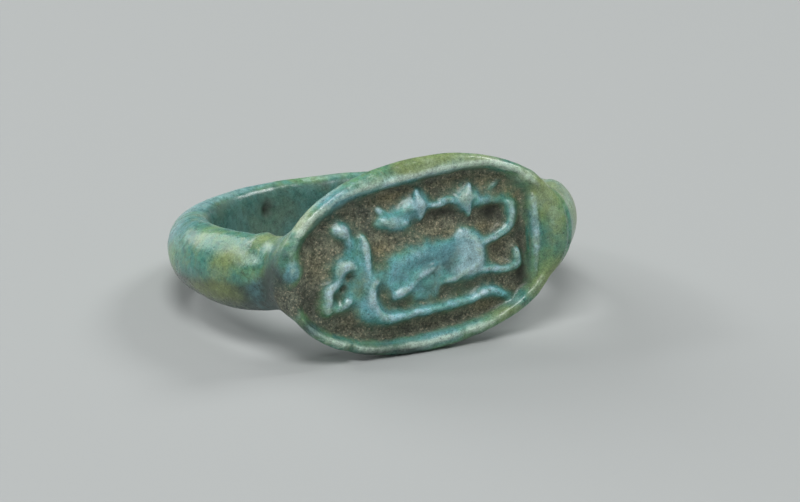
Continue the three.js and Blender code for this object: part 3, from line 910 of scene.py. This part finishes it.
class Shader:
    """Small helpers that keep a material's node tree readable."""

    def __init__(self, name):
        self.material = bpy.data.materials.new(name)
        self.material.use_nodes = True
        self.tree = self.material.node_tree
        self.surface = self.tree.nodes["Principled BSDF"]
        self.surface.location = (1400, 0)
        self.tree.nodes["Material Output"].location = (1700, 0)
        self.column = 0
        self.coordinates = add_node(self.tree, "ShaderNodeTexCoord", (-1400, 0)).outputs["Object"]

    def add(self, kind, **settings):
        """The next node, set a little to the right of the last."""
        self.column += 1
        return add_node(self.tree, kind, (-1200 + 60 * self.column, 300 - 180 * (self.column % 7)), **settings)

    def attribute(self, name):
        return self.add("ShaderNodeAttribute", attribute_name=name).outputs["Fac"]

    def noise(self, scale, detail, roughness, distortion=0.0, shift=0.0):
        node = self.add("ShaderNodeTexNoise")
        names = ("Scale", "Detail", "Roughness", "Distortion")
        for name, number in zip(names, (scale, detail, roughness, distortion)):
            node.inputs[name].default_value = number
        moved = self.add("ShaderNodeVectorMath", operation="ADD")
        moved.inputs[1].default_value = (shift, shift, shift)
        self.tree.links.new(self.coordinates, moved.inputs[0])
        self.tree.links.new(moved.outputs[0], node.inputs["Vector"])
        return node.outputs["Fac"]

    def cells(self, scale):
        """Distance to the nearest of many scattered points."""
        node = self.add("ShaderNodeTexVoronoi")
        node.inputs["Scale"].default_value = scale
        self.tree.links.new(self.coordinates, node.inputs["Vector"])
        return node.outputs["Distance"]

    def ramp(self, value, low, high, out_low=0.0, out_high=1.0):
        """A smooth change from one number to another as a value goes from low to high."""
        node = self.add("ShaderNodeMapRange", interpolation_type="SMOOTHSTEP")
        names = ("Value", "From Min", "From Max", "To Min", "To Max")
        for name, number in zip(names, (value, low, high, out_low, out_high)):
            set_socket(self.tree, node.inputs[name], number)
        return node.outputs["Result"]

    def math(self, operation, *values):
        node = self.add("ShaderNodeMath", operation=operation)
        for socket, value in zip(node.inputs, values):
            set_socket(self.tree, socket, value)
        return node.outputs["Value"]

    def times(self, first, second):
        return self.math("MULTIPLY", first, second)

    def vary(self, value, texture, amount):
        """A value raised and lowered by how far a texture is from its middle."""
        return self.math("MULTIPLY_ADD", self.math("SUBTRACT", texture, 0.5), amount, value)

    def mix(self, factor, first, second):
        node = self.add("ShaderNodeMix", data_type="RGBA", clamp_factor=True)
        for index, value in ((0, factor), (6, first), (7, second)):
            set_socket(self.tree, node.inputs[index], value)
        return node.outputs[2]

    def speckle(self, texture, low, high, amount, base, tone):
        """Mixes a tone into a base where a texture goes from low to high."""
        return self.mix(self.ramp(texture, low, high, 0.0, amount), base, tone)


def tint(tone, factor):
    """A lighter or darker tone."""
    return tuple(min(1.0, c * factor) for c in tone)


# Tones that lie over the glaze's own. The crest tones are partly thin glaze and partly painted highlight, and the
# slope tone is painted shade.
FIGURE_THIN_AND_HIGHLIGHT = (0.46, 0.66, 0.7)
FIGURE_CREST_AND_HIGHLIGHT = ((0.5, 0.68, 0.73), (0.4, 0.56, 0.47))
RIM_CREST_AND_HIGHLIGHT = (0.58, 0.72, 0.6)
FILM = ((0.09, 0.15, 0.085), (0.14, 0.16, 0.07))
PAINTED_SLOPE_SHADE = (0.055, 0.085, 0.05)
INSIDE = ((0.06, 0.16, 0.145), (0.1, 0.22, 0.2))
INSIDE_GREY = (0.1, 0.14, 0.11)
SOIL_GREY = (0.09, 0.125, 0.11)
SOIL_OCHRE = (0.31, 0.27, 0.14)


def glaze_material(colours):
    """Mottled faience glaze, soil in the field, pale worn crests with painted highlights, and painted shade in
    hollows, on slopes and underneath.
    """
    s = Shader("faience_glaze")
    names = ("teal", "green", "blue", "olive", "pale", "slate", "earth", "sand")
    teal, green, blue, olive, pale, slate, earth, sand = (tuple(getattr(colours, name)) for name in names)
    broad = s.noise(330, 3, 0.6, 0.6)
    patch = s.noise(850, 4, 0.7, 0.8)
    other = s.noise(1300, 3, 0.6, 0.3, shift=0.013)
    fine = s.noise(2900, 3, 0.65)
    speck = s.noise(8000, 2, 0.7)
    grain = s.noise(16000, 1, 0.6)
    base = s.mix(s.ramp(broad, 0.36, 0.64), teal, green)
    base = s.speckle(other, 0.46, 0.72, 0.4, base, olive)
    base = s.speckle(patch, 0.5, 0.75, 0.4, base, tint(blue, 0.8))
    base = s.speckle(fine, 0.46, 0.3, 0.3, base, tint(slate, 1.4))

    def spread(name, gain=1.0, ragged=0.6):
        """A tone's attribute, broken up by noise at its edges."""
        rough = s.vary(s.vary(s.attribute(name), patch, ragged), fine, ragged * 0.7)
        return s.times(s.ramp(rough, 0.08, 1.0), gain)

    figure = s.mix(s.ramp(other, 0.36, 0.62), tint(blue, 1.55), s.mix(0.5, tint(teal, 2.0), tint(blue, 1.3)))
    figure = s.speckle(fine, 0.5, 0.3, 0.4, figure, teal)
    figure = s.speckle(patch, 0.5, 0.38, 0.4, figure, tint(teal, 1.4))
    thin_and_highlight = s.mix(s.ramp(other, 0.42, 0.6), pale, s.mix(0.45, pale, olive))
    thin_and_highlight = s.mix(s.attribute("figure"), thin_and_highlight, FIGURE_THIN_AND_HIGHLIGHT)
    crest = s.mix(s.ramp(other, 0.4, 0.62), *FIGURE_CREST_AND_HIGHLIGHT)
    inside = s.mix(s.ramp(patch, 0.35, 0.7), *INSIDE)
    inside = s.speckle(broad, 0.42, 0.6, 0.5, inside, INSIDE_GREY)
    for amount, tone in (
        (s.times(s.attribute("figure"), 0.88), figure),
        # Dark slate glaze, and painted shade under the hoop and along the rim.
        (spread("slate", 0.92), slate),
        (spread("blue", 0.85), blue),
        # Pale tone: thin glaze, and painted highlights on the crests and shoulders.
        (spread("pale", 0.7), thin_and_highlight),
        (spread("olive", 0.75), olive),
        (spread("film", 0.6, 0.9), s.mix(s.ramp(other, 0.4, 0.6), *FILM)),
        # Painted shade on the field's steep slopes.
        (spread("slope", 0.45, 0.8), PAINTED_SLOPE_SHADE),
        # Pale crests: worn thin glaze, with painted highlights on the figure and the rim.
        (s.times(spread("crest", 1.0, 0.7), s.ramp(patch, 0.3, 0.62, 0.5, 1.0)), crest),
        (s.times(spread("rim_crest", 1.0, 0.8), 0.8), RIM_CREST_AND_HIGHLIGHT),
        (s.times(s.attribute("inner_wall"), 0.85), inside),
    ):
        base = s.mix(amount, base, tone)
    # Soil: grey-brown with sandy, dark and bluish grains.
    soil = s.mix(s.ramp(fine, 0.32, 0.68), tint(earth, 0.6), tint(earth, 1.35))
    soil = s.speckle(broad, 0.42, 0.62, 0.4, soil, SOIL_GREY)
    soil = s.mix(s.times(s.attribute("ochre"), s.ramp(fine, 0.3, 0.6, 0.4, 0.85)), soil, SOIL_OCHRE)
    soil = s.speckle(speck, 0.55, 0.7, 0.75, soil, sand)
    soil = s.mix(s.times(s.attribute("shade"), 0.8), soil, tint(earth, 0.2))
    soil = s.speckle(speck, 0.45, 0.33, 0.7, soil, tint(earth, 0.3))
    soil_edge = s.attribute("earth")
    for texture, amount in ((patch, 0.5), (fine, 0.8), (speck, 0.5)):
        soil_edge = s.vary(soil_edge, texture, amount)
    soil_amount = s.ramp(soil_edge, 0.1, 0.85)
    base = s.mix(soil_amount, base, soil)
    # Painted shade in the relief's hollows and in the pits of the finger hole's wall.
    base = s.mix(s.times(s.attribute("cavity"), 0.35), base, tint(earth, 0.35))
    base = s.mix(s.times(s.attribute("pit"), 0.85), base, tint(earth, 0.22))
    # Small dark pits, and grain over everything.
    pits, pores = s.cells(2300), s.cells(6000)
    base = s.speckle(pits, 0.15, 0.05, 0.5, base, tint(slate, 0.5))
    base = s.speckle(pores, 0.2, 0.08, 0.4, base, tint(slate, 0.6))
    value = 1.08
    for texture, amount in ((grain, 0.9), (speck, 0.8), (fine, 1.2)):
        value = s.vary(value, texture, amount)
    shaded = add_node(s.tree, "ShaderNodeVectorMath", (1000, 200), operation="SCALE")
    link = s.tree.links.new
    link(base, shaded.inputs[0])
    link(value, shaded.inputs["Scale"])
    link(shaded.outputs[0], s.surface.inputs["Base Color"])
    rough = s.ramp(patch, 0.3, 0.7, 0.22, 0.38)
    link(s.math("MULTIPLY_ADD", soil_amount, 0.38, rough), s.surface.inputs["Roughness"])
    s.surface.inputs["IOR"].default_value = 1.47
    s.surface.inputs["Coat Weight"].default_value = 0.2
    s.surface.inputs["Coat Roughness"].default_value = 0.2
    s.surface.inputs["Subsurface Weight"].default_value = 0.08
    s.surface.inputs["Subsurface Radius"].default_value = (0.0004, 0.0006, 0.0005)
    s.surface.inputs["Subsurface Scale"].default_value = 1.0
    bump_height = s.math("MULTIPLY_ADD", s.ramp(pits, 0.05, 0.2), 0.35, s.times(fine, 0.35))
    for texture, in_soil, in_glaze in ((speck, 0.8, 0.12), (grain, 0.9, 0.06)):
        amount = s.math("MULTIPLY_ADD", soil_amount, in_soil, in_glaze)
        bump_height = s.math("MULTIPLY_ADD", texture, amount, bump_height)
    bump = add_node(s.tree, "ShaderNodeBump", (1100, -400))
    bump.inputs["Strength"].default_value = 0.7
    bump.inputs["Distance"].default_value = 0.00006
    link(bump_height, bump.inputs["Height"])
    link(bump.outputs["Normal"], s.surface.inputs["Normal"])
    return s.material


FLOOR_REACH = 1.2
SKY = (0.93, 0.97, 1.0)
SKY_STRENGTH = 0.13

# Round soft lights, aimed at the ring: name, place, how wide they are and their power in watts.
LIGHTS = (
    ("back_left", (-0.17, 0.42, 0.26), 0.4, 1.05),
    ("back_right", (0.36, 0.06, 0.35), 0.17, 0.75),
    ("left", (-0.34, 0.19, 0.31), 0.09, 0.3),
    ("above", (-0.1, -0.16, 0.46), 0.24, 1.3),
    ("front", (-0.25, -0.55, 0.4), 0.5, 0.33),
)

# The camera, in pixels of the picture: its size, how long the lens is and where it looks.
PICTURE = (800, 502)
FOCAL = 4200
AIM = (375.29, 235.26)
ROLL = math.radians(0.79)
SENSOR = 36


class RING_OT_build(bpy.types.Operator):
    """Build the glazed ring"""

    bl_idname = "faience_ring.build"
    bl_label = "Ring"

    def execute(self, context):
        sizes = context.scene.ring_sizes
        ring = Ring(sizes)
        points, quads = surface_quads(ring, sizes.voxel / MM)
        u, v, w = ring.bezel.to_local(points[quads].mean(1))
        chosen = (w > ring.bezel.floor - 0.5) & (ring.bezel.inset(u, v) > -0.05)
        points, faces = refine(points, quads, chosen)
        points, normals = project(ring, points)
        for _ in range(3):
            points, normals = project(ring, relax(points, faces, normals), rounds=1)
        points, normals = project(ring, points, rounds=2)
        mesh = bpy.data.meshes.new("faience_ring")
        mesh.from_pydata(place(points).tolist(), [], faces)
        mesh.validate()
        mesh.shade_smooth()
        paint(ring, mesh, points, normals)
        piece = bpy.data.objects.new("faience_ring", mesh)
        context.scene.collection.objects.link(piece)
        mesh.materials.append(glaze_material(context.scene.glaze_colours))
        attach(piece, "root")
        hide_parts("ring")
        return {"FINISHED"}


class RING_OT_stage(bpy.types.Operator):
    """Lay the sheet and set light and camera"""

    bl_idname = "faience_ring.stage"
    bl_label = "Stage"

    def execute(self, context):
        settings = context.scene.stage_settings
        mesh = bpy.data.meshes.new("floor")
        corners = [(x * FLOOR_REACH, y * FLOOR_REACH, 0) for x, y in ((-1, -1), (1, -1), (1, 1), (-1, 1))]
        mesh.from_pydata(corners, [], [(0, 1, 2, 3)])
        floor = bpy.data.objects.new("floor", mesh)
        context.scene.collection.objects.link(floor)
        sheet = bpy.data.materials.new("sheet")
        sheet.use_nodes = True
        surface = sheet.node_tree.nodes["Principled BSDF"]
        surface.inputs["Base Color"].default_value = (*settings.floor, 1)
        surface.inputs["Roughness"].default_value = 0.9
        mesh.materials.append(sheet)
        for light in LIGHTS:
            self.light(context, *light)
        world = bpy.data.worlds.new("studio")
        world.use_nodes = True
        background = world.node_tree.nodes["Background"]
        background.inputs["Color"].default_value = (*SKY, 1)
        background.inputs["Strength"].default_value = SKY_STRENGTH
        context.scene.world = world
        context.scene.view_settings.view_transform = "Standard"
        self.camera(context, settings)
        return {"FINISHED"}

    def light(self, context, name, place, size, power):
        data = bpy.data.lights.new(name, "AREA")
        data.shape = "DISK"
        data.size = size
        data.energy = power
        lamp = bpy.data.objects.new(name, data)
        lamp.location = place
        lamp.rotation_euler = (-Vector(place)).to_track_quat("-Z", "Y").to_euler()
        context.scene.collection.objects.link(lamp)

    def camera(self, context, settings):
        """Looks at the finger hole's middle, which the lens's shift puts where it is in the picture."""
        a, e = settings.azimuth, settings.elevation
        back = Vector((math.sin(a) * math.cos(e), -math.cos(a) * math.cos(e), math.sin(e)))
        right = Vector((math.cos(a), math.sin(a), 0))
        up = back.cross(right)
        c, s = math.cos(ROLL), math.sin(ROLL)
        right, up = right * c + up * s, up * c - right * s
        data = bpy.data.cameras.new("camera")
        data.sensor_width = SENSOR
        data.lens = FOCAL / PICTURE[0] * SENSOR
        data.shift_x = (PICTURE[0] / 2 - AIM[0]) / PICTURE[0]
        data.shift_y = (AIM[1] - PICTURE[1] / 2) / PICTURE[0]
        data.clip_start = 0.01
        camera = bpy.data.objects.new("camera", data)
        turn = Matrix((right, up, back)).transposed().to_4x4()
        centre = Vector(CENTRE) * MM
        camera.matrix_world = Matrix.Translation(centre + back * settings.distance) @ turn
        context.scene.collection.objects.link(camera)
        context.scene.camera = camera


class RING_PT_panel(bpy.types.Panel):
    """Lists the ring's and the stage's buttons."""

    bl_label = "Faience ring"
    bl_space_type = "VIEW_3D"
    bl_region_type = "UI"
    bl_category = "Ring"

    def draw(self, context):
        layout = self.layout
        for group in (context.scene.ring_sizes, context.scene.glaze_colours, context.scene.stage_settings):
            box = layout.box()
            for name in group.bl_rna.properties.keys():
                if name not in ("rna_type", "name"):
                    box.prop(group, name)
        layout.operator(RING_OT_build.bl_idname)
        layout.operator(RING_OT_stage.bl_idname)


CLASSES = (RingSizes, GlazeColours, StageSettings, RING_OT_build, RING_OT_stage, RING_PT_panel)


def register():
    for cls in CLASSES:
        bpy.utils.register_class(cls)
    bpy.types.Scene.ring_sizes = PointerProperty(type=RingSizes)
    bpy.types.Scene.glaze_colours = PointerProperty(type=GlazeColours)
    bpy.types.Scene.stage_settings = PointerProperty(type=StageSettings)


def unregister():
    for name in ("ring_sizes", "glaze_colours", "stage_settings"):
        delattr(bpy.types.Scene, name)
    for cls in reversed(CLASSES):
        bpy.utils.unregister_class(cls)


def main():
    register()
    bpy.ops.faience_ring.build()
    bpy.ops.faience_ring.stage()


if __name__ == "__main__":
    main()
